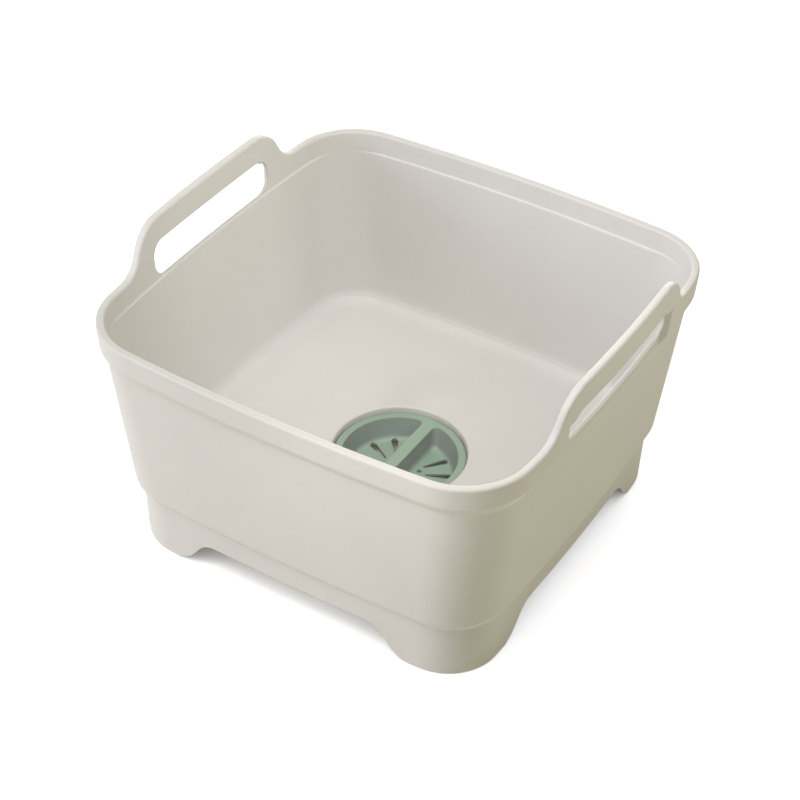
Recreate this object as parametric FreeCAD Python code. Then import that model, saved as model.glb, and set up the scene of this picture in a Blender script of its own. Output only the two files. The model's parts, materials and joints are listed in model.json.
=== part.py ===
import FreeCAD, Part
import math
import os
from FreeCAD import Vector

# Square washing-up bowl with two raised handles, four arched feet and a lift-out straining plug.
# Millimetres, +Z up. The origin is on the ground under the middle of the bowl, handles at -X and +X.

# Rim band and its plan
RIM_WIDTH = 310.0            # across the rim, from the middle of one side to the middle of the other
RIM_HEIGHT = 173.2           # rim above the ground
RIM_THICKNESS = 5.4
RIM_EDGE_RADIUS = 1.6        # rounding of the rim's and the handles' upper edges
RIM_CORNER_RADIUS = 48.0
RIM_SIDE_RADIUS = 1420.0     # the sides bow outwards a little
BAND_LEAN = 0.06             # outward travel of the band for each unit of height
BAND_DEPTH = 16.2            # outer band, from the rim to the joggle under it
LEDGE_DEPTH = 15.0           # inner band, from the rim to the ledge
LEDGE_FALL = 0.5             # slope of the ledge, so that it drains
LEDGE_RADIUS = 0.5
BAND_JOGGLE_HEIGHT = 7.5
BAND_JOGGLE_RADIUS = 4.0

# Wall
BAND_STEP = 4.83             # band's outer face, out from the top of the wall
WALL_TAPER = 9.8             # wall's outer face, in from its top to its foot
WALL_THICKNESS = 2.6
WALL_CORNER_RADIUS = 40.0

# Skirt under the wall, cut into four feet
SKIRT_STEP = 4.5             # skirt's outer face, in from the foot of the wall
SKIRT_TAPER = 1.2            # skirt's outer face, in from its top to the ground
SKIRT_THICKNESS = 3.0
SKIRT_CORNER_RADIUS = 37.0
SKIRT_SIDE_RADIUS = 1900.0
SKIRT_ABOVE_FLOOR = 2.0      # top of the skirt, above the floor's upper face
SKIRT_JOGGLE_HEIGHT = 6.5
SKIRT_JOGGLE_RADIUS = 3.0
WALL_FOOT_RADIUS = 7.0
FOOT_EDGE_RADIUS = 1.2
FOOT_WIDTH = 51.9            # each side of a foot, to where its sloping edge would meet the ground
ARCH_BELOW_FLOOR = 12.2      # top of an arch, below the floor's underside
ARCH_SIDE_ANGLE = 53.7       # degrees from the ground
ARCH_TOP_RADIUS = 16.0
ARCH_FOOT_RADIUS = 22.0

# Floor and the plug's sump
FLOOR_THICKNESS = 3.0
FLOOR_FILLET = 12.0
PLUGHOLE_DIAMETER = 91.8
PLUGHOLE_EDGE_RADIUS = 1.2
FLANGE_SEAT_WIDTH = 3.0
SUMP_WALL = 2.6
SUMP_FLOOR_THICKNESS = 2.8
SUMP_GROUND_GAP = 7.2        # free height under the sump
DRAIN_DIAMETER = 30.0

# Handles
HANDLE_RISE = 28.8           # above the rim
HANDLE_BASE_WIDTH = 168.0    # where the sloping sides would meet the rim
HANDLE_SIDE_ANGLE = 62.0     # degrees from the rim
HANDLE_TOP_RADIUS = 25.0
HANDLE_ROOT_RADIUS = 19.0
GRIP_HEIGHT = 17.1           # bar above the hand slot, at its inner face
SLOT_ABOVE_LEDGE = 0.6       # lower edge of the slot, at its inner face
SLOT_SLOPE = 0.52            # the slot falls this much for each unit outwards
SLOT_SIDE = 21.2             # from the handle's base to the end of its slot
SLOT_CORNER_RADIUS = 10.5
RELIEF_SKIN = 2.4            # handle left between the relief round its slot and its inner face
RELIEF_INSET = 4.0           # the relief's end ramps start this far inside the slot's ends, at the inner face
RELIEF_RAMP = 1.9            # and run this much along the handle for each unit outwards
RELIEF_DROP = 4.0            # top of the relief, below the slot's

# Straining plug
PLUG_CLEARANCE = 1.0         # between the plug's flange and the plughole
PLUG_RECESS = 4.3            # flange below the bowl's floor
SEAT_CLEARANCE = 0.3         # between the flange and the seat that it hangs over
FLANGE_WIDTH = 5.3
FLANGE_THICKNESS = 2.6
FLANGE_EDGE_RADIUS = 0.8
BASKET_WALL = 1.8
BASKET_FLOOR_THICKNESS = 2.0
DISH_DEPTH = 16.0
DISH_TAPER = 3.5             # the dish is this much smaller in radius at its floor
DISH_FILLET = 4.0
BAR_WIDTH = 8.6              # grip bar across the dish
BAR_DRAFT = 0.5              # each face of the bar, from its top to the dish's floor
BAR_ROOT_RADIUS = 4.0        # where the bar spreads into the flange
STRAINER_SLOTS = 5           # in each half of the dish
STRAINER_PITCH = 26.5        # degrees between slots
STRAINER_WIDE_RADIUS = 2.4   # rounded outer end of a slot
STRAINER_NARROW_RADIUS = 0.9
STRAINER_LENGTH = 14.5       # between the centres of a slot's ends
STRAINER_EDGE = 0.7          # from the foot of the dish's wall to the slots
DRIP_HOLES = 2               # small holes in each half, nearer to the middle
DRIP_HOLE_DIAMETER = 3.2
DRIP_HOLE_RING = 27.6        # diameter of the ring that they lie on
DRIP_HOLE_PITCH = 80.0       # degrees

# Stopper under the basket
STOPPER_THICKNESS = 3.5
STOPPER_WEB = 2.0            # stopper left above its screw pocket
SWIVEL_CLEARANCE = 0.3       # above the stopper, under the basket
SWIVEL_PLAY = 0.2            # between the stopper and the washer that holds it up
PIVOT_DIAMETER = 10.0
PIVOT_CLEARANCE = 0.08       # radial
SEAL_THICKNESS = 2.4
SEAL_WIDTH = 5.0
SEAL_MARGIN = 1.0            # from the drain's edge to the seal
SEAL_TONGUE_WIDTH = 1.4
SEAL_TONGUE_HEIGHT = 1.5
SEAL_GROOVE_CLEARANCE = 0.1
STOPPER_EDGE_RADIUS = 0.6

# Screw and washer
SCREW_DIAMETER = 3.5
SCREW_LENGTH = 12.0
SCREW_CLEARANCE = 0.05       # radial, in the basket
SCREW_HOLE_SPARE = 0.5       # hole deeper than the screw
SCREW_HEAD_DIAMETER = 7.2
SCREW_HEAD_HEIGHT = 1.6
SCREW_HEAD_RADIUS = 0.7
DRIVE_WIDTH = 1.0
DRIVE_LENGTH = 4.0
DRIVE_DEPTH = 0.9
WASHER_DIAMETER = 15.0
WASHER_THICKNESS = 0.8
WASHER_CLEARANCE = 0.15      # radial, round the screw
POCKET_CLEARANCE = 0.5       # radial, round the washer

# Modelling
ARC_STEPS = 5                # straight spans in a rounded bend of a lofted profile
OVERCUT = 2.0                # cutting tools reach this far past what they cut
TINY = 0.001

# Heights, from the ground up
sump_floor = SUMP_GROUND_GAP + SUMP_FLOOR_THICKNESS
stopper_bottom = sump_floor + SEAL_THICKNESS
stopper_top = stopper_bottom + STOPPER_THICKNESS
basket_underside = stopper_top + SWIVEL_CLEARANCE
dish_floor = basket_underside + BASKET_FLOOR_THICKNESS
flange_top = dish_floor + DISH_DEPTH
flange_bottom = flange_top - FLANGE_THICKNESS
flange_seat = flange_bottom - SEAT_CLEARANCE
floor_top = flange_top + PLUG_RECESS
floor_underside = floor_top - FLOOR_THICKNESS
arch_top = floor_underside - ARCH_BELOW_FLOOR
skirt_top = floor_top + SKIRT_ABOVE_FLOOR
wall_foot = skirt_top + SKIRT_JOGGLE_HEIGHT
band_foot = RIM_HEIGHT - BAND_DEPTH
wall_top = band_foot - BAND_JOGGLE_HEIGHT
ledge = RIM_HEIGHT - LEDGE_DEPTH
handle_top = RIM_HEIGHT + HANDLE_RISE
slot_top = handle_top - GRIP_HEIGHT
slot_bottom = ledge + SLOT_ABOVE_LEDGE
crown = handle_top + OVERCUT

# Half widths and radii
rim_half = RIM_WIDTH / 2
wall_top_half = rim_half - BAND_LEAN * BAND_DEPTH - BAND_STEP
wall_foot_half = wall_top_half - WALL_TAPER
skirt_top_half = wall_foot_half - SKIRT_STEP
skirt_ground_half = skirt_top_half - SKIRT_TAPER
handle_base_half = HANDLE_BASE_WIDTH / 2
slot_half = handle_base_half - SLOT_SIDE
slot_inner = rim_half - BAND_LEAN * LEDGE_DEPTH - RIM_THICKNESS
plughole_radius = PLUGHOLE_DIAMETER / 2
sump_radius = plughole_radius - FLANGE_SEAT_WIDTH
flange_radius = plughole_radius - PLUG_CLEARANCE
dish_radius = flange_radius - FLANGE_WIDTH
dish_floor_radius = dish_radius - DISH_TAPER
drain_radius = DRAIN_DIAMETER / 2
seal_inner_radius = drain_radius + SEAL_MARGIN
seal_outer_radius = seal_inner_radius + SEAL_WIDTH
stopper_radius = seal_outer_radius
tongue_radius = (seal_inner_radius + seal_outer_radius) / 2
pivot_radius = PIVOT_DIAMETER / 2
pivot_end = stopper_top - STOPPER_WEB - SWIVEL_PLAY
washer_bottom = pivot_end - WASHER_THICKNESS
washer_radius = WASHER_DIAMETER / 2
screw_radius = SCREW_DIAMETER / 2
screw_tip = washer_bottom + SCREW_LENGTH

X_AXIS = Vector(1, 0, 0)
Y_AXIS = Vector(0, 1, 0)
Z_AXIS = Vector(0, 0, 1)
ORIGIN = Vector(0, 0, 0)


def bend(before, here, after, radius):
    """Tangent points and centre of the arc that rounds the bend of two lines, in 2-D."""
    back = (before - here).normalize()
    ahead = (after - here).normalize()
    half_angle = back.getAngle(ahead) / 2
    reach = radius / math.tan(half_angle)
    middle = (back + ahead).normalize()
    centre = here + middle * (radius / math.sin(half_angle))
    return here + back * reach, here + ahead * reach, centre


def rounded_profile(corners):
    """Points (a, height, b) along a profile of corners (a, height, b, rounding radius), with short-span bends."""
    points = [corners[0][:3]]
    for before, here, after in zip(corners, corners[1:], corners[2:]):
        radius = here[3]
        flat = [Vector(corner[0], corner[1], 0) for corner in (before, here, after)]
        start, end, centre = bend(*flat, radius)
        start_share = (start - flat[1]).Length / (flat[0] - flat[1]).Length
        end_share = (end - flat[1]).Length / (flat[2] - flat[1]).Length
        start_b = here[2] + (before[2] - here[2]) * start_share
        end_b = here[2] + (after[2] - here[2]) * end_share
        first = start - centre
        last = end - centre
        turn = first.getAngle(last)
        for step in range(ARC_STEPS + 1):
            share = step / ARC_STEPS
            near = first * math.sin((1 - share) * turn)
            far = last * math.sin(share * turn)
            point = centre + (near + far) * (1 / math.sin(turn))
            across = (point.x - start.x) / (end.x - start.x)
            points.append((point.x, point.y, start_b + (end_b - start_b) * across))
    points.append(corners[-1][:3])
    return points


def rounded_wire(corners, place):
    """Closed outline of corners (a, b, rounding radius), put into space by place(a, b)."""
    flat = [Vector(a, b, 0) for a, b, radius in corners]
    spans = []
    for index, corner in enumerate(corners):
        here = flat[index]
        before = flat[index - 1]
        after = flat[(index + 1) % len(flat)]
        radius = corner[2]
        if radius == 0:
            spans.append((here, here, None))
            continue
        start, end, centre = bend(before, here, after, radius)
        middle = centre + (here - centre).normalize() * radius
        spans.append((start, end, middle))
    edges = []
    for index, (start, end, middle) in enumerate(spans):
        following = spans[(index + 1) % len(spans)][0]
        if middle is not None:
            arc = Part.Arc(place(start.x, start.y), place(middle.x, middle.y), place(end.x, end.y))
            edges.append(arc.toShape())
        if (following - end).Length > TINY:
            edges.append(Part.makeLine(place(end.x, end.y), place(following.x, following.y)))
    return Part.Wire(edges)


def across_x(y, z):
    return Vector(0, y, z)


def across_y(x, z):
    return Vector(x, 0, z)


def across_z(x, y):
    return Vector(x, y, 0)


def prism(corners, place, direction, near, far):
    """Outline drawn through the origin, filled and drawn out along direction from near to far."""
    face = Part.Face(rounded_wire(corners, place))
    face.translate(direction * near)
    return face.extrude(direction * (far - near))


def turned(corners):
    """Solid of revolution about Z of an outline of corners (radius, height, rounding radius)."""
    face = Part.Face(rounded_wire(corners, across_y))
    return face.revolve(ORIGIN, Z_AXIS, 360)


def cylinder(radius, bottom, top):
    return Part.makeCylinder(radius, top - bottom, Vector(0, 0, bottom))


def side_radius(height):
    """The bow of the sides changes evenly from the ground to the rim."""
    share = height / RIM_HEIGHT
    return SKIRT_SIDE_RADIUS + (RIM_SIDE_RADIUS - SKIRT_SIDE_RADIUS) * share


def plan_wire(half, height, corner):
    """Bowed square at one height: four side arcs joined by tangent corner arcs."""
    side = side_radius(height)
    reach = side - half
    between = side - corner
    corner_centre = (math.sqrt(2 * between ** 2 - reach ** 2) - reach) / 2
    scale = side / between
    join_x = (corner_centre + reach) * scale - reach
    join_y = corner_centre * scale
    tip = corner_centre + corner / math.sqrt(2)
    edges = []
    for quarter in range(4):
        low = Vector(join_x, -join_y, height)
        high = Vector(join_x, join_y, height)
        side_arc = Part.Arc(low, Vector(half, 0, height), high).toShape()
        corner_arc = Part.Arc(high, Vector(tip, tip, height), Vector(join_y, join_x, height)).toShape()
        for edge in (side_arc, corner_arc):
            edge.rotate(ORIGIN, Z_AXIS, 90 * quarter)
            edges.append(edge)
    return Part.Wire(edges)


def plan_loft(points):
    wires = [plan_wire(half, height, corner) for half, height, corner in points]
    return Part.makeLoft(wires, True, True)


def wall_half(height):
    """Half width of the wall's outer face at a height."""
    share = (height - wall_foot) / (wall_top - wall_foot)
    return wall_foot_half + (wall_top_half - wall_foot_half) * share


def band_half(height):
    """Half width of the rim band's outer face at a height, handles included."""
    return rim_half + BAND_LEAN * (height - RIM_HEIGHT)


def outer_form():
    """Everything inside the bowl's outer faces, up to the crown of the handles."""
    lead = 2 * FOOT_EDGE_RADIUS
    profile = rounded_profile([
        (skirt_ground_half - lead, 0, SKIRT_CORNER_RADIUS - lead, 0),
        (skirt_ground_half, 0, SKIRT_CORNER_RADIUS, FOOT_EDGE_RADIUS),
        (skirt_top_half, skirt_top, SKIRT_CORNER_RADIUS, SKIRT_JOGGLE_RADIUS),
        (wall_foot_half, wall_foot, WALL_CORNER_RADIUS, WALL_FOOT_RADIUS),
        (wall_top_half, wall_top, WALL_CORNER_RADIUS, BAND_JOGGLE_RADIUS),
        (band_half(band_foot), band_foot, RIM_CORNER_RADIUS, BAND_JOGGLE_RADIUS),
        (band_half(crown), crown, RIM_CORNER_RADIUS, 0),
    ])
    return plan_loft(profile[1:])


def inner_form():
    """The hollow that holds the water, open at the top."""
    lead = 2 * FLOOR_FILLET
    wall_corner = WALL_CORNER_RADIUS - WALL_THICKNESS
    band_corner = RIM_CORNER_RADIUS - RIM_THICKNESS
    foot = wall_half(floor_top) - WALL_THICKNESS
    ledge_inner = ledge - LEDGE_FALL
    top = crown + OVERCUT
    profile = rounded_profile([
        (foot - lead, floor_top, wall_corner - lead, 0),
        (foot, floor_top, wall_corner, FLOOR_FILLET),
        (wall_half(ledge_inner) - WALL_THICKNESS, ledge_inner, wall_corner, LEDGE_RADIUS),
        (band_half(ledge) - RIM_THICKNESS, ledge, band_corner, LEDGE_RADIUS),
        (band_half(top) - RIM_THICKNESS, top, band_corner, 0),
    ])
    return plan_loft(profile[1:])


def underside_form():
    """The space inside the skirt, under the floor."""
    corner = SKIRT_CORNER_RADIUS - SKIRT_THICKNESS
    lean = (skirt_top_half - skirt_ground_half) / skirt_top
    points = []
    for height in (-OVERCUT, floor_underside):
        points.append((skirt_ground_half + lean * height - SKIRT_THICKNESS, height, corner))
    return plan_loft(points)


def rim_trim():
    """What is cut away above the rim, leaving the two handles standing."""
    slope = math.tan(math.radians(HANDLE_SIDE_ANGLE))
    top_half = handle_base_half - HANDLE_RISE / slope
    reach = RIM_WIDTH
    top = crown + OVERCUT
    return prism([
        (-reach, RIM_HEIGHT, 0),
        (-handle_base_half, RIM_HEIGHT, HANDLE_ROOT_RADIUS),
        (-top_half, handle_top, HANDLE_TOP_RADIUS),
        (top_half, handle_top, HANDLE_TOP_RADIUS),
        (handle_base_half, RIM_HEIGHT, HANDLE_ROOT_RADIUS),
        (reach, RIM_HEIGHT, 0),
        (reach, top, 0),
        (-reach, top, 0),
    ], across_x, X_AXIS, -RIM_WIDTH, RIM_WIDTH)


def on_both_sides(right):
    """A tool for the right handle, and the same for the left one."""
    left = right.copy()
    left.rotate(ORIGIN, Z_AXIS, 180)
    return [right, left]


def drawn_outwards(corners):
    """An outline at a handle's inner face, drawn through the handle along the slot's slope; both handles."""
    direction = Vector(1, 0, -SLOT_SLOPE)
    right = prism(corners, across_x, direction, wall_foot_half - slot_inner, rim_half + OVERCUT - slot_inner)
    right.translate(X_AXIS * slot_inner)
    return on_both_sides(right)


def hand_slots():
    """Rounded openings through the handles."""
    radius = SLOT_CORNER_RADIUS
    return drawn_outwards([
        (-slot_half, slot_bottom, radius),
        (slot_half, slot_bottom, radius),
        (slot_half, slot_top, radius),
        (-slot_half, slot_top, radius),
    ])


def slot_reliefs():
    """Hollows in the outer faces round the slots, open down to the joggle, with a ramp at each end."""
    depth = RIM_THICKNESS - RELIEF_SKIN
    outside = rim_half + OVERCUT
    start = slot_half - RELIEF_INSET
    half = start + RELIEF_RAMP * (outside - slot_inner)
    low = wall_top - BAND_JOGGLE_HEIGHT
    high = slot_top - RELIEF_DROP
    kept = plan_loft([
        (band_half(wall_foot) - depth, wall_foot, RIM_CORNER_RADIUS - depth),
        (band_half(crown) - depth, crown, RIM_CORNER_RADIUS - depth),
    ])
    tools = drawn_outwards([
        (-half, low, 0),
        (half, low, 0),
        (half, high, 0),
        (-half, high, 0),
    ])
    ramps = on_both_sides(prism([
        (slot_inner, -start, 0),
        (outside, -half, 0),
        (outside, half, 0),
        (slot_inner, start, 0),
    ], across_z, Z_AXIS, wall_foot, crown))
    return [tool.common(ramp).cut(kept) for tool, ramp in zip(tools, ramps)]


def arches():
    """The openings between the feet, one on each side."""
    ground_half = skirt_ground_half - FOOT_WIDTH
    top_half = ground_half - arch_top / math.tan(math.radians(ARCH_SIDE_ANGLE))
    wide = ground_half + ARCH_FOOT_RADIUS * math.tan(math.radians(ARCH_SIDE_ANGLE / 2))
    inside = skirt_ground_half - 2 * SKIRT_THICKNESS - SKIRT_CORNER_RADIUS
    arch = prism([
        (-wide, -OVERCUT, 0),
        (-wide, 0, 0),
        (-ground_half, 0, ARCH_FOOT_RADIUS),
        (-top_half, arch_top, ARCH_TOP_RADIUS),
        (top_half, arch_top, ARCH_TOP_RADIUS),
        (ground_half, 0, ARCH_FOOT_RADIUS),
        (wide, 0, 0),
        (wide, -OVERCUT, 0),
    ], across_y, Y_AXIS, inside, RIM_WIDTH)
    tools = []
    for quarter in range(4):
        tool = arch.copy()
        tool.rotate(ORIGIN, Z_AXIS, 90 * quarter)
        tools.append(tool)
    return tools


def sump():
    """Round well under the floor, before it is bored."""
    return cylinder(plughole_radius + SUMP_WALL, SUMP_GROUND_GAP, floor_top - FLOOR_THICKNESS / 2)


def sump_bores():
    """Plughole, the narrower well under its seat, and the drain."""
    return [
        cylinder(plughole_radius, flange_seat, floor_top + OVERCUT),
        cylinder(sump_radius, sump_floor, flange_seat + OVERCUT),
        cylinder(drain_radius, -OVERCUT, sump_floor + OVERCUT),
    ]


def runs_through(edge):
    """True for an edge that crosses the wall's thickness at a handle."""
    ends = [vertex.Point for vertex in edge.Vertexes]
    return abs(ends[0].y - ends[-1].y) < TINY and abs(ends[0].z - ends[-1].z) < TINY


def top_edges(shape):
    """Edges of the rim and of the handles' outlines."""
    box = shape.BoundBox
    return [edge for edge in shape.Edges
            if edge.BoundBox.ZMin > RIM_HEIGHT - TINY and edge.BoundBox.ZMax <= box.ZMax + TINY
            and not runs_through(edge)]


def plughole_edge(shape):
    """The circle where the plughole meets the floor."""
    return [edge for edge in shape.Edges
            if edge.BoundBox.ZMin > floor_top - TINY and edge.BoundBox.ZMax < floor_top + TINY
            and edge.BoundBox.XMax < plughole_radius + TINY]


def bowl_tub():
    body = outer_form().cut([underside_form()] + arches())
    body = body.fuse(sump())
    body = body.cut([inner_form(), rim_trim()] + sump_bores())
    body = body.makeFillet(RIM_EDGE_RADIUS, top_edges(body))
    body = body.cut(hand_slots() + slot_reliefs())
    return body.makeFillet(PLUGHOLE_EDGE_RADIUS, plughole_edge(body))


def half_moon(radius, height, edge):
    """One side of the dish at a height: a circle cut off by the grip bar, with rounded ends."""
    corner = BAR_ROOT_RADIUS
    centre_x = edge + corner
    centre_y = math.sqrt((radius - corner) ** 2 - centre_x ** 2)
    scale = radius / (radius - corner)
    bar_high = Vector(edge, centre_y, height)
    bar_low = Vector(edge, -centre_y, height)
    ring_high = Vector(centre_x * scale, centre_y * scale, height)
    ring_low = Vector(centre_x * scale, -centre_y * scale, height)
    diagonal = (bar_high + ring_high) * 0.5 - Vector(centre_x, centre_y, height)
    bulge_high = Vector(centre_x, centre_y, height) + diagonal.normalize() * corner
    bulge_low = Vector(bulge_high.x, -bulge_high.y, height)
    return Part.Wire([
        Part.makeLine(bar_high, bar_low),
        Part.Arc(bar_low, bulge_low, ring_low).toShape(),
        Part.Arc(ring_low, Vector(radius, 0, height), ring_high).toShape(),
        Part.Arc(ring_high, bulge_high, bar_high).toShape(),
    ])


def dish_halves():
    """The two hollows on either side of the grip bar."""
    lead = 2 * DISH_FILLET
    bar_top = BAR_WIDTH / 2
    bar_foot = bar_top + BAR_DRAFT
    over = OVERCUT / DISH_DEPTH
    profile = rounded_profile([
        (dish_floor_radius - lead, dish_floor, bar_foot + lead, 0),
        (dish_floor_radius, dish_floor, bar_foot, DISH_FILLET),
        (dish_radius + DISH_TAPER * over, flange_top + OVERCUT, bar_top - BAR_DRAFT * over, 0),
    ])
    right = Part.makeLoft([half_moon(*point) for point in profile[1:]], True, True)
    left = right.copy()
    left.rotate(ORIGIN, Z_AXIS, 180)
    return [right, left]


def strainer_slot():
    """Teardrop hole along +X, wide at its outer end, through the dish's floor."""
    outer = dish_floor_radius - STRAINER_EDGE - STRAINER_WIDE_RADIUS
    inner = outer - STRAINER_LENGTH
    along = (STRAINER_WIDE_RADIUS - STRAINER_NARROW_RADIUS) / STRAINER_LENGTH
    aside = math.sqrt(1 - along ** 2)
    bottom = basket_underside - OVERCUT
    wide = Vector(outer, 0, bottom)
    narrow = Vector(inner, 0, bottom)
    left = Vector(along, aside, 0)
    right = Vector(along, -aside, 0)
    wide_left = wide + left * STRAINER_WIDE_RADIUS
    wide_right = wide + right * STRAINER_WIDE_RADIUS
    narrow_left = narrow + left * STRAINER_NARROW_RADIUS
    narrow_right = narrow + right * STRAINER_NARROW_RADIUS
    outline = Part.Wire([
        Part.makeLine(narrow_right, wide_right),
        Part.Arc(wide_right, wide + X_AXIS * STRAINER_WIDE_RADIUS, wide_left).toShape(),
        Part.makeLine(wide_left, narrow_left),
        Part.Arc(narrow_left, narrow - X_AXIS * STRAINER_NARROW_RADIUS, narrow_right).toShape(),
    ])
    return Part.Face(outline).extrude(Z_AXIS * (dish_floor + DISH_FILLET - bottom))


def drip_hole():
    """Small round hole along +X of the middle."""
    hole = cylinder(DRIP_HOLE_DIAMETER / 2, basket_underside - OVERCUT, dish_floor + DISH_FILLET)
    hole.translate(X_AXIS * (DRIP_HOLE_RING / 2))
    return hole


def fanned(tool, count, pitch):
    """Copies of a tool spread about +X, and again about -X."""
    copies = []
    for side in (0, 180):
        for index in range(count):
            copy = tool.copy()
            copy.rotate(ORIGIN, Z_AXIS, side + (index - (count - 1) / 2) * pitch)
            copies.append(copy)
    return copies


def strainer_basket():
    wall_slope = DISH_TAPER / DISH_DEPTH
    cup_top = dish_radius + BASKET_WALL - wall_slope * FLANGE_THICKNESS
    cup_foot = dish_floor_radius + BASKET_WALL - wall_slope * BASKET_FLOOR_THICKNESS
    body = turned([
        (0, basket_underside, 0),
        (cup_foot, basket_underside, DISH_FILLET),
        (cup_top, flange_bottom, 0),
        (flange_radius, flange_bottom, FLANGE_EDGE_RADIUS),
        (flange_radius, flange_top, FLANGE_EDGE_RADIUS),
        (0, flange_top, 0),
    ])
    body = body.fuse(cylinder(pivot_radius, pivot_end, basket_underside + BASKET_FLOOR_THICKNESS / 2))
    screw_hole = cylinder(screw_radius + SCREW_CLEARANCE, pivot_end - OVERCUT, screw_tip + SCREW_HOLE_SPARE)
    slots = fanned(strainer_slot(), STRAINER_SLOTS, STRAINER_PITCH)
    drips = fanned(drip_hole(), DRIP_HOLES, DRIP_HOLE_PITCH)
    return body.cut(dish_halves() + slots + drips + [screw_hole])


def stopper_disc():
    groove_inner = tongue_radius - SEAL_TONGUE_WIDTH / 2 - SEAL_GROOVE_CLEARANCE
    groove_outer = tongue_radius + SEAL_TONGUE_WIDTH / 2 + SEAL_GROOVE_CLEARANCE
    groove_top = stopper_bottom + SEAL_TONGUE_HEIGHT + SEAL_GROOVE_CLEARANCE
    pocket_top = stopper_top - STOPPER_WEB
    pocket_radius = washer_radius + POCKET_CLEARANCE
    bore_radius = pivot_radius + PIVOT_CLEARANCE
    return turned([
        (bore_radius, stopper_top, 0),
        (bore_radius, pocket_top, 0),
        (pocket_radius, pocket_top, 0),
        (pocket_radius, stopper_bottom, 0),
        (groove_inner, stopper_bottom, 0),
        (groove_inner, groove_top, 0),
        (groove_outer, groove_top, 0),
        (groove_outer, stopper_bottom, 0),
        (stopper_radius, stopper_bottom, 0),
        (stopper_radius, stopper_top, STOPPER_EDGE_RADIUS),
    ])


def stopper_seal():
    tongue_inner = tongue_radius - SEAL_TONGUE_WIDTH / 2
    tongue_outer = tongue_radius + SEAL_TONGUE_WIDTH / 2
    tongue_top = stopper_bottom + SEAL_TONGUE_HEIGHT
    return turned([
        (seal_inner_radius, sump_floor, 0),
        (seal_outer_radius, sump_floor, STOPPER_EDGE_RADIUS),
        (seal_outer_radius, stopper_bottom, 0),
        (tongue_outer, stopper_bottom, 0),
        (tongue_outer, tongue_top, 0),
        (tongue_inner, tongue_top, 0),
        (tongue_inner, stopper_bottom, 0),
        (seal_inner_radius, stopper_bottom, 0),
    ])


def screw_washer():
    ring = cylinder(washer_radius, washer_bottom, pivot_end)
    return ring.cut(cylinder(screw_radius + WASHER_CLEARANCE, washer_bottom - OVERCUT, pivot_end + OVERCUT))


def retaining_screw():
    head_radius = SCREW_HEAD_DIAMETER / 2
    head_bottom = washer_bottom - SCREW_HEAD_HEIGHT
    body = turned([
        (0, head_bottom, 0),
        (head_radius, head_bottom, SCREW_HEAD_RADIUS),
        (head_radius, washer_bottom, 0),
        (screw_radius, washer_bottom, 0),
        (screw_radius, screw_tip, 0),
        (0, screw_tip, 0),
    ])
    drive_corner = Vector(-DRIVE_LENGTH / 2, -DRIVE_WIDTH / 2, head_bottom - OVERCUT)
    drive = Part.makeBox(DRIVE_LENGTH, DRIVE_WIDTH, OVERCUT + DRIVE_DEPTH, drive_corner)
    cross = drive.copy()
    cross.rotate(ORIGIN, Z_AXIS, 90)
    return body.cut([drive, cross])


PIECES = {
    "bowl_tub": bowl_tub,
    "strainer_basket": strainer_basket,
    "stopper_disc": stopper_disc,
    "stopper_seal": stopper_seal,
    "screw_washer": screw_washer,
    "retaining_screw": retaining_screw,
}


def single_solid(shape, name):
    """The one solid of a piece, or an error that names the piece."""
    if len(shape.Solids) != 1 or not shape.isValid():
        raise ValueError(f"{name}: {len(shape.Solids)} solids, valid {shape.isValid()}")
    return shape.Solids[0]


os.makedirs("parts", exist_ok=True)
for name, make in PIECES.items():
    solid = single_solid(make(), name)
    solid.exportStep(f"parts/{name}.step")
    box = solid.BoundBox
    print(f"{name}: {solid.Volume / 1000:.1f} cm3, {box.XLength:.1f} x {box.YLength:.1f} x {box.ZLength:.1f} mm")
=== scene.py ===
import json
import math

import bpy
from mathutils import Matrix, Vector

# Looks of the washing up bowl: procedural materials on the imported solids,
# a pale floor, soft studio light and the photo's camera.
# Metres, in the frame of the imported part.

# Camera, fitted to the rim, handles and feet in the photo
IMAGE_SIZE = 800
CAMERA_PLACE = Vector((0.51450, -0.86550, 0.90700))
CAMERA_AZIMUTH = 31.05       # degrees from -Y towards +X
CAMERA_ELEVATION = 39.32     # degrees above level
CAMERA_ROLL = 1.42           # degrees
FOCAL_PIXELS = 1978.8
CENTRE_PIXEL = (392.6, 399.6)
SENSOR_WIDTH = 36.0          # millimetres

# Colours, linear
CREAM = (0.715, 0.694, 0.664)
SAGE = (0.328, 0.436, 0.344)
SAGE_PAINTED_SHADE = (0.314, 0.360, 0.332)   # painted shade: the plug's upright faces get a greyer, darker green
SEAL_GREY = (0.47, 0.48, 0.45)
STEEL = (0.56, 0.55, 0.53)
WHITE = (1.0, 1.0, 1.0)
PALE_FLOOR = (0.80, 0.77, 0.64)
FLOOR_LIFT = (0.92, 0.93, 1.0)       # glow that makes the open floor white
WORLD_COLOUR = (1.0, 0.93, 0.67)

# Noise: scale and detail of each layer, and the part of its values in use
CLOUD = (14.0, 3.0)
SPECK = (650.0, 2.0)
GRAIN = (1500.0, 3.0)
DUST = (900.0, 4.0)
RIPPLE = (240.0, 2.0)
NOISE_LOW, NOISE_HIGH = 0.3, 0.7

# Moulded plastic
CLOUD_LEVELS = (0.975, 1.015)        # shares of the colour
SPECK_SHADE = (0.93, 0.93, 0.93)
SPECK_SHARE = 0.35
CREAM_ROUGHNESS = 0.46
SAGE_ROUGHNESS = 0.42
ROUGHNESS_SPREAD = 0.05
CREAM_EDGE = 0.0014                  # radius that softens the edges
SAGE_EDGE = 0.0005
EDGE_SAMPLES = 6
PLASTIC_SPECULAR = 0.35
UPRIGHT_AT, LEVEL_AT = 0.5, 0.9      # sizes of the normal's Z: full painted shade at the first, none at the second
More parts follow.
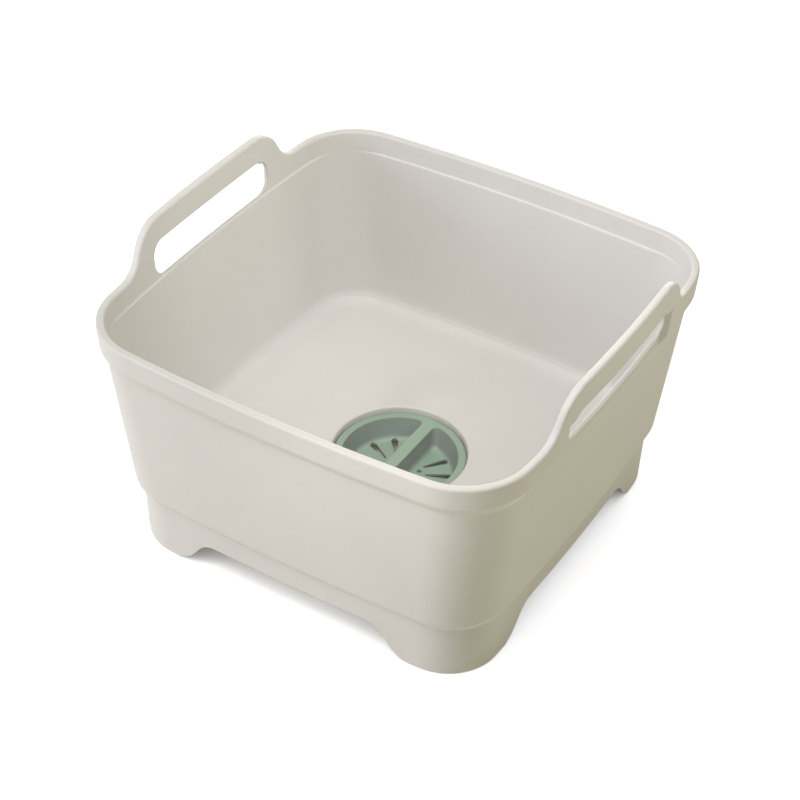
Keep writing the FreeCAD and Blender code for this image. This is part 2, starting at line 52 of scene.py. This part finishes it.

# Silicone and steel
DUST_LEVELS = (0.93, 1.03)
RUBBER_ROUGHNESS = (0.62, 0.78)
RUBBER_SPECULAR = 0.3
RING_LEVELS = (0.9, 1.05)
STEEL_ROUGHNESS = (0.24, 0.36)

# Floor and world
FLOOR_HALF = 4.0
FLOOR_DROP = 0.0004                  # below the feet
SHADOW_REACH = 0.10                  # floor round the feet that the lift leaves in shade
SHADOW_SAMPLES = 16
OPENNESS = (0.06, 0.55)              # ambient occlusion, from deep shade to open floor
LIFT_STRENGTH = (0.08, 0.90)
WORLD_LEVEL = 0.18

# Square area lights, facing the middle of the bowl: name, place, side, watts, colour
LIGHT_TARGET = (0.0, 0.0, 0.1)
SOFT_BOXES = (
    ("key_light", (-1.6, -1.9, 0.8), 1.4, 34.3, (0.86, 0.88, 1.0)),
    ("front_light", (-0.25, -0.85, 1.6), 0.5, 10.2, (0.97, 0.98, 1.0)),
    ("bowl_light", (0.10, 0.0, 0.5), 0.2, 0.48, (0.98, 0.99, 1.0)),
    ("right_light", (2.0, 0.8, 0.6), 1.2, 5.4, (1.0, 0.95, 0.42)),
    ("back_light", (-0.9, 2.1, 0.7), 1.0, 18.0, (1.0, 0.97, 0.90)),
)

# Narrow beams: name, place, target, lamp radius, beam in degrees, watts, colour
SNOOTS = (
    ("wall_light", (1.2, 0.0, 1.15), (-0.15, 0.02, 0.125), 0.08, 12.5, 37.4, (0.95, 0.95, 1.0)),
    ("plug_light", (0.569, -0.951, 1.114), (-0.01, 0.01, 0.03), 0.05, 9.0, 23.0, (1.0, 0.95, 0.88)),
)

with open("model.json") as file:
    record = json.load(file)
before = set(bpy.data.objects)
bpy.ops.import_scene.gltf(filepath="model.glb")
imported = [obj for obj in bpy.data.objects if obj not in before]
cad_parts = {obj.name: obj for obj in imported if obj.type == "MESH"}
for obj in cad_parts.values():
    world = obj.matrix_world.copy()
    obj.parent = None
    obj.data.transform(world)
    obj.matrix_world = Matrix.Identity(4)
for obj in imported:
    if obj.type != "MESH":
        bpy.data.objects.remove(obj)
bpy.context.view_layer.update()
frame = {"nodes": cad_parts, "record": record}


class Nodes:
    """Short ways to add and join the nodes of one material or world."""

    def __init__(self, owner):
        owner.use_nodes = True
        self.owner = owner
        self.tree = owner.node_tree
        self.tree.nodes.clear()

    def add(self, kind, inputs=None, **settings):
        node = self.tree.nodes.new(kind)
        for key, value in settings.items():
            setattr(node, key, value)
        for key, value in (inputs or {}).items():
            socket = node.inputs[key]
            if isinstance(value, bpy.types.NodeSocket):
                self.tree.links.new(value, socket)
            else:
                socket.default_value = value
        return node

    def math(self, operation, first, second=None):
        inputs = {0: first} if second is None else {0: first, 1: second}
        return self.add("ShaderNodeMath", inputs, operation=operation).outputs[0]

    def finish(self, shader, output="ShaderNodeOutputMaterial"):
        self.add(output, {"Surface": shader})
        return self.owner


def new_material(name):
    return Nodes(bpy.data.materials.new(name))


def object_place(nodes):
    return nodes.add("ShaderNodeTexCoord").outputs["Object"]


def rgba(colour, level=1.0):
    return tuple(level * part for part in colour) + (1.0,)


def ramp(nodes, factor, low, high):
    """A noise value turned into a colour between two colours."""
    node = nodes.add("ShaderNodeValToRGB", {"Fac": factor})
    ends = node.color_ramp.elements
    ends[0].position, ends[0].color = NOISE_LOW, low
    ends[1].position, ends[1].color = NOISE_HIGH, high
    return node.outputs["Color"]


def shades(nodes, factor, colour, levels):
    """A noise value turned into two levels of one colour."""
    return ramp(nodes, factor, rgba(colour, levels[0]), rgba(colour, levels[1]))


def noise(nodes, place, layer):
    scale, detail = layer
    node = nodes.add("ShaderNodeTexNoise", {"Vector": place, "Scale": scale, "Detail": detail})
    return node.outputs["Fac"]


def map_range(nodes, value, start, end):
    node = nodes.add("ShaderNodeMapRange", {
        "Value": value,
        "From Min": start[0],
        "From Max": start[1],
        "To Min": end[0],
        "To Max": end[1],
    })
    return node.outputs["Result"]


def spread(nodes, factor, ends):
    """A noise value stretched over a range."""
    return map_range(nodes, factor, (NOISE_LOW, NOISE_HIGH), ends)


def painted_shade_mask(nodes):
    """Mask of the painted shade: 0 on level faces, 1 on upright ones."""
    normal = nodes.add("ShaderNodeTexCoord").outputs["Normal"]
    parts = nodes.add("ShaderNodeSeparateXYZ", {0: normal})
    level = nodes.math("ABSOLUTE", parts.outputs["Z"])
    return map_range(nodes, level, (UPRIGHT_AT, LEVEL_AT), (1.0, 0.0))


def moulded_plastic(name, colour, roughness, edge_radius, painted_shade_colour=None):
    """Moulded plastic: faint cloudy flow of the colour, fine speckle, spark-eroded grain, soft edges, and, when
    a second colour is given, painted shade: upright faces take that greyer colour.
    """
    nodes = new_material(name)
    place = object_place(nodes)
    cloud = noise(nodes, place, CLOUD)
    speck = noise(nodes, place, SPECK)
    grain = noise(nodes, place, GRAIN)
    clouded = shades(nodes, cloud, colour, CLOUD_LEVELS)
    # painted shade: upright faces get a greyer, darker colour
    if painted_shade_colour:
        upright = shades(nodes, cloud, painted_shade_colour, CLOUD_LEVELS)
        mixed = nodes.add("ShaderNodeMix", {0: painted_shade_mask(nodes), 6: clouded, 7: upright}, data_type="RGBA")
        clouded = mixed.outputs[2]
    specks = ramp(nodes, speck, rgba(SPECK_SHADE), rgba(WHITE))
    specked = nodes.add("ShaderNodeMix", {0: SPECK_SHARE}, data_type="RGBA", blend_type="MULTIPLY")
    nodes.tree.links.new(clouded, specked.inputs[6])
    nodes.tree.links.new(specks, specked.inputs[7])
    edges = nodes.add("ShaderNodeBevel", {"Radius": edge_radius}, samples=EDGE_SAMPLES)
    bump = nodes.add("ShaderNodeBump", {
        "Strength": 0.10,
        "Distance": 0.0002,
        "Height": grain,
        "Normal": edges.outputs["Normal"],
    })
    shader = nodes.add("ShaderNodeBsdfPrincipled", {
        "Base Color": specked.outputs[2],
        "Roughness": spread(nodes, grain, (roughness - ROUGHNESS_SPREAD, roughness + ROUGHNESS_SPREAD)),
        "Specular IOR Level": PLASTIC_SPECULAR,
        "Normal": bump.outputs["Normal"],
    })
    return nodes.finish(shader.outputs["BSDF"])


def soft_rubber(name, colour):
    """Silicone: dull, with a fine dusty speckle."""
    nodes = new_material(name)
    place = object_place(nodes)
    dust = noise(nodes, place, DUST)
    ripple = noise(nodes, place, RIPPLE)
    bump = nodes.add("ShaderNodeBump", {"Strength": 0.15, "Distance": 0.0002, "Height": ripple})
    shader = nodes.add("ShaderNodeBsdfPrincipled", {
        "Base Color": shades(nodes, dust, colour, DUST_LEVELS),
        "Roughness": spread(nodes, dust, RUBBER_ROUGHNESS),
        "Specular IOR Level": RUBBER_SPECULAR,
        "Normal": bump.outputs["Normal"],
    })
    return nodes.finish(shader.outputs["BSDF"])


def turned_steel(name, colour):
    """Stainless steel with fine turning marks about the plug's axis."""
    nodes = new_material(name)
    wave = nodes.add("ShaderNodeTexWave", {
        "Vector": object_place(nodes),
        "Scale": 900.0,
        "Distortion": 1.5,
        "Detail": 3.0,
        "Detail Scale": 2.0,
    }, wave_type="RINGS", rings_direction="Z")
    rings = wave.outputs["Fac"]
    bump = nodes.add("ShaderNodeBump", {"Strength": 0.2, "Distance": 0.00005, "Height": rings})
    shader = nodes.add("ShaderNodeBsdfPrincipled", {
        "Base Color": shades(nodes, rings, colour, RING_LEVELS),
        "Metallic": 1.0,
        "Roughness": spread(nodes, rings, STEEL_ROUGHNESS),
        "Normal": bump.outputs["Normal"],
    })
    return nodes.finish(shader.outputs["BSDF"])


def seen_white(nodes):
    """1 for rays that show the background: camera, glossy and transmission rays."""
    path = nodes.add("ShaderNodeLightPath").outputs
    first = nodes.math("MAXIMUM", path["Is Camera Ray"], path["Is Glossy Ray"])
    return nodes.math("MAXIMUM", first, path["Is Transmission Ray"])


def studio_floor():
    """Large pale floor that reads white and keeps the shadow; its white glow is weakened near the bowl by
    ambient occlusion, a painted contact shadow.
    """
    mesh = bpy.data.meshes.new("studio_floor")
    half = FLOOR_HALF
    corners = [(-half, -half, 0), (half, -half, 0), (half, half, 0), (-half, half, 0)]
    mesh.from_pydata(corners, [], [(0, 1, 2, 3)])
    floor = bpy.data.objects.new("studio_floor", mesh)
    floor.location.z = -FLOOR_DROP
    bpy.context.scene.collection.objects.link(floor)
    nodes = new_material("studio_paper")
    diffuse = nodes.add("ShaderNodeBsdfDiffuse", {"Color": rgba(PALE_FLOOR)})
    # painted contact shadow: ambient occlusion weakens the white glow round the bowl
    near = nodes.add("ShaderNodeAmbientOcclusion", {"Distance": SHADOW_REACH}, samples=SHADOW_SAMPLES)
    open_floor = map_range(nodes, near.outputs["AO"], OPENNESS, LIFT_STRENGTH)
    glow = nodes.math("MULTIPLY", seen_white(nodes), open_floor)
    lift = nodes.add("ShaderNodeEmission", {"Color": rgba(FLOOR_LIFT), "Strength": glow})
    both = nodes.add("ShaderNodeAddShader", {0: diffuse.outputs[0], 1: lift.outputs[0]})
    mesh.materials.append(nodes.finish(both.outputs[0]))


def studio_world():
    """Even light from all round, seen as white."""
    world = bpy.data.worlds.new("studio_world")
    bpy.context.scene.world = world
    nodes = Nodes(world)
    around = nodes.add("ShaderNodeBackground", {"Color": rgba(WORLD_COLOUR), "Strength": WORLD_LEVEL})
    white = nodes.add("ShaderNodeBackground", {"Color": rgba(WHITE), "Strength": 1.0})
    choice = nodes.add("ShaderNodeMixShader", {0: seen_white(nodes), 1: around.outputs[0], 2: white.outputs[0]})
    nodes.finish(choice.outputs[0], "ShaderNodeOutputWorld")


def hang(light, place, target, power, colour):
    """Puts a light at a place, facing a target, itself out of sight."""
    light.energy = power
    light.color = colour
    lamp = bpy.data.objects.new(light.name, light)
    lamp.location = place
    lamp.rotation_euler = (Vector(target) - Vector(place)).to_track_quat("-Z", "Y").to_euler()
    lamp.visible_camera = False
    bpy.context.scene.collection.objects.link(lamp)


def soft_box(name, place, side, power, colour):
    """Square area light."""
    light = bpy.data.lights.new(name, "AREA")
    light.shape = "SQUARE"
    light.size = side
    hang(light, place, LIGHT_TARGET, power, colour)


def snoot(name, place, target, radius, beam, power, colour):
    """Narrow beam with a soft edge."""
    light = bpy.data.lights.new(name, "SPOT")
    light.shadow_soft_size = radius
    light.spot_size = math.radians(beam)
    light.spot_blend = 1.0
    hang(light, place, target, power, colour)


def photo_camera():
    """Camera at the photo's place, with its roll and its off-centre frame."""
    turn = math.radians(CAMERA_AZIMUTH)
    lift = math.radians(CAMERA_ELEVATION)
    roll = math.radians(CAMERA_ROLL)
    back = Vector((math.sin(turn) * math.cos(lift), -math.cos(turn) * math.cos(lift), math.sin(lift)))
    level = Vector((math.cos(turn), math.sin(turn), 0))
    upright = back.cross(level)
    right = level * math.cos(roll) + upright * math.sin(roll)
    up = upright * math.cos(roll) - level * math.sin(roll)
    lens = bpy.data.cameras.new("photo_camera")
    lens.sensor_width = SENSOR_WIDTH
    lens.lens = FOCAL_PIXELS * SENSOR_WIDTH / IMAGE_SIZE
    lens.shift_x = 0.5 - CENTRE_PIXEL[0] / IMAGE_SIZE
    lens.shift_y = CENTRE_PIXEL[1] / IMAGE_SIZE - 0.5
    camera = bpy.data.objects.new("photo_camera", lens)
    matrix = Matrix((right, up, back)).transposed().to_4x4()
    matrix.translation = CAMERA_PLACE
    camera.matrix_world = matrix
    bpy.context.scene.collection.objects.link(camera)
    bpy.context.scene.camera = camera


def dress():
    """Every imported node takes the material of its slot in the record."""
    finishes = {
        "bowl_plastic": moulded_plastic("cream_plastic", CREAM, CREAM_ROUGHNESS, CREAM_EDGE),
        "plug_plastic": moulded_plastic("sage_plastic", SAGE, SAGE_ROUGHNESS, SAGE_EDGE, SAGE_PAINTED_SHADE),
        "seal_rubber": soft_rubber("grey_silicone", SEAL_GREY),
        "hardware_steel": turned_steel("turned_steel", STEEL),
    }
    for part in frame["record"]["subparts"]:
        mesh = frame["nodes"][part["node"]].data
        mesh.materials.clear()
        mesh.materials.append(finishes[part["material_slot"]])


dress()
studio_floor()
studio_world()
for box in SOFT_BOXES:
    soft_box(*box)
for beam in SNOOTS:
    snoot(*beam)
photo_camera()
bpy.context.scene.view_settings.view_transform = "Standard"
